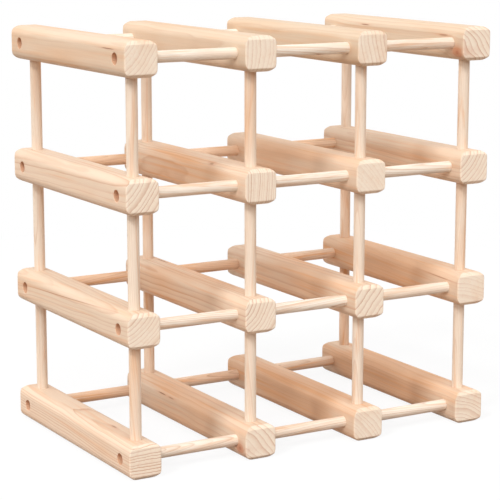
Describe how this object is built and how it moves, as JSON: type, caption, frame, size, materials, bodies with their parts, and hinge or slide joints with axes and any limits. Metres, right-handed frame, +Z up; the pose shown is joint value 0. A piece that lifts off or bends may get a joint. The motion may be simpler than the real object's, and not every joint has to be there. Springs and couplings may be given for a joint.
{
  "type": "wine rack",
  "caption": "Free-standing pine wine rack: round-edged rails in columns, joined by round dowels, with open cells where bottles lie front to back.",
  "frame": {"origin": "on the floor, under the centre of the rack's box", "axes": "+X across to the right as seen from the front, +Y from the front to the back, +Z up"},
  "size_m": [0.399, 0.25, 0.399],
  "materials": {
    "pine_rail": "planed and sanded pine, left bare",
    "pine_dowel": "turned pale softwood dowel, left bare"
  },
  "bodies": {
    "root": {"rail_level_1_column_1": "pine_rail", "rail_level_1_column_2": "pine_rail", "rail_level_1_column_3": "pine_rail", "rail_level_1_column_4": "pine_rail", "rail_level_2_column_1": "pine_rail", "rail_level_2_column_2": "pine_rail", "rail_level_2_column_3": "pine_rail", "rail_level_2_column_4": "pine_rail", "rail_level_3_column_1": "pine_rail", "rail_level_3_column_2": "pine_rail", "rail_level_3_column_3": "pine_rail", "rail_level_3_column_4": "pine_rail", "rail_level_4_column_1": "pine_rail", "rail_level_4_column_2": "pine_rail", "rail_level_4_column_3": "pine_rail", "rail_level_4_column_4": "pine_rail", "upright_dowel_level_1_column_1_front": "pine_dowel", "upright_dowel_level_1_column_1_rear": "pine_dowel", "upright_dowel_level_1_column_2_front": "pine_dowel", "upright_dowel_level_1_column_2_rear": "pine_dowel", "upright_dowel_level_1_column_3_front": "pine_dowel", "upright_dowel_level_1_column_3_rear": "pine_dowel", "upright_dowel_level_1_column_4_front": "pine_dowel", "upright_dowel_level_1_column_4_rear": "pine_dowel", "upright_dowel_level_2_column_1_front": "pine_dowel", "upright_dowel_level_2_column_1_rear": "pine_dowel", "upright_dowel_level_2_column_2_front": "pine_dowel", "upright_dowel_level_2_column_2_rear": "pine_dowel", "upright_dowel_level_2_column_3_front": "pine_dowel", "upright_dowel_level_2_column_3_rear": "pine_dowel", "upright_dowel_level_2_column_4_front": "pine_dowel", "upright_dowel_level_2_column_4_rear": "pine_dowel", "upright_dowel_level_3_column_1_front": "pine_dowel", "upright_dowel_level_3_column_1_rear": "pine_dowel", "upright_dowel_level_3_column_2_front": "pine_dowel", "upright_dowel_level_3_column_2_rear": "pine_dowel", "upright_dowel_level_3_column_3_front": "pine_dowel", "upright_dowel_level_3_column_3_rear": "pine_dowel", "upright_dowel_level_3_column_4_front": "pine_dowel", "upright_dowel_level_3_column_4_rear": "pine_dowel", "cross_dowels_level_1_bay_1": "pine_dowel", "cross_dowels_level_1_bay_2": "pine_dowel", "cross_dowels_level_1_bay_3": "pine_dowel", "cross_dowels_level_2_bay_1": "pine_dowel", "cross_dowels_level_2_bay_2": "pine_dowel", "cross_dowels_level_2_bay_3": "pine_dowel", "cross_dowels_level_3_bay_1": "pine_dowel", "cross_dowels_level_3_bay_2": "pine_dowel", "cross_dowels_level_3_bay_3": "pine_dowel", "cross_dowels_level_4_bay_1": "pine_dowel", "cross_dowels_level_4_bay_2": "pine_dowel", "cross_dowels_level_4_bay_3": "pine_dowel"}
  },
  "joints": []
}
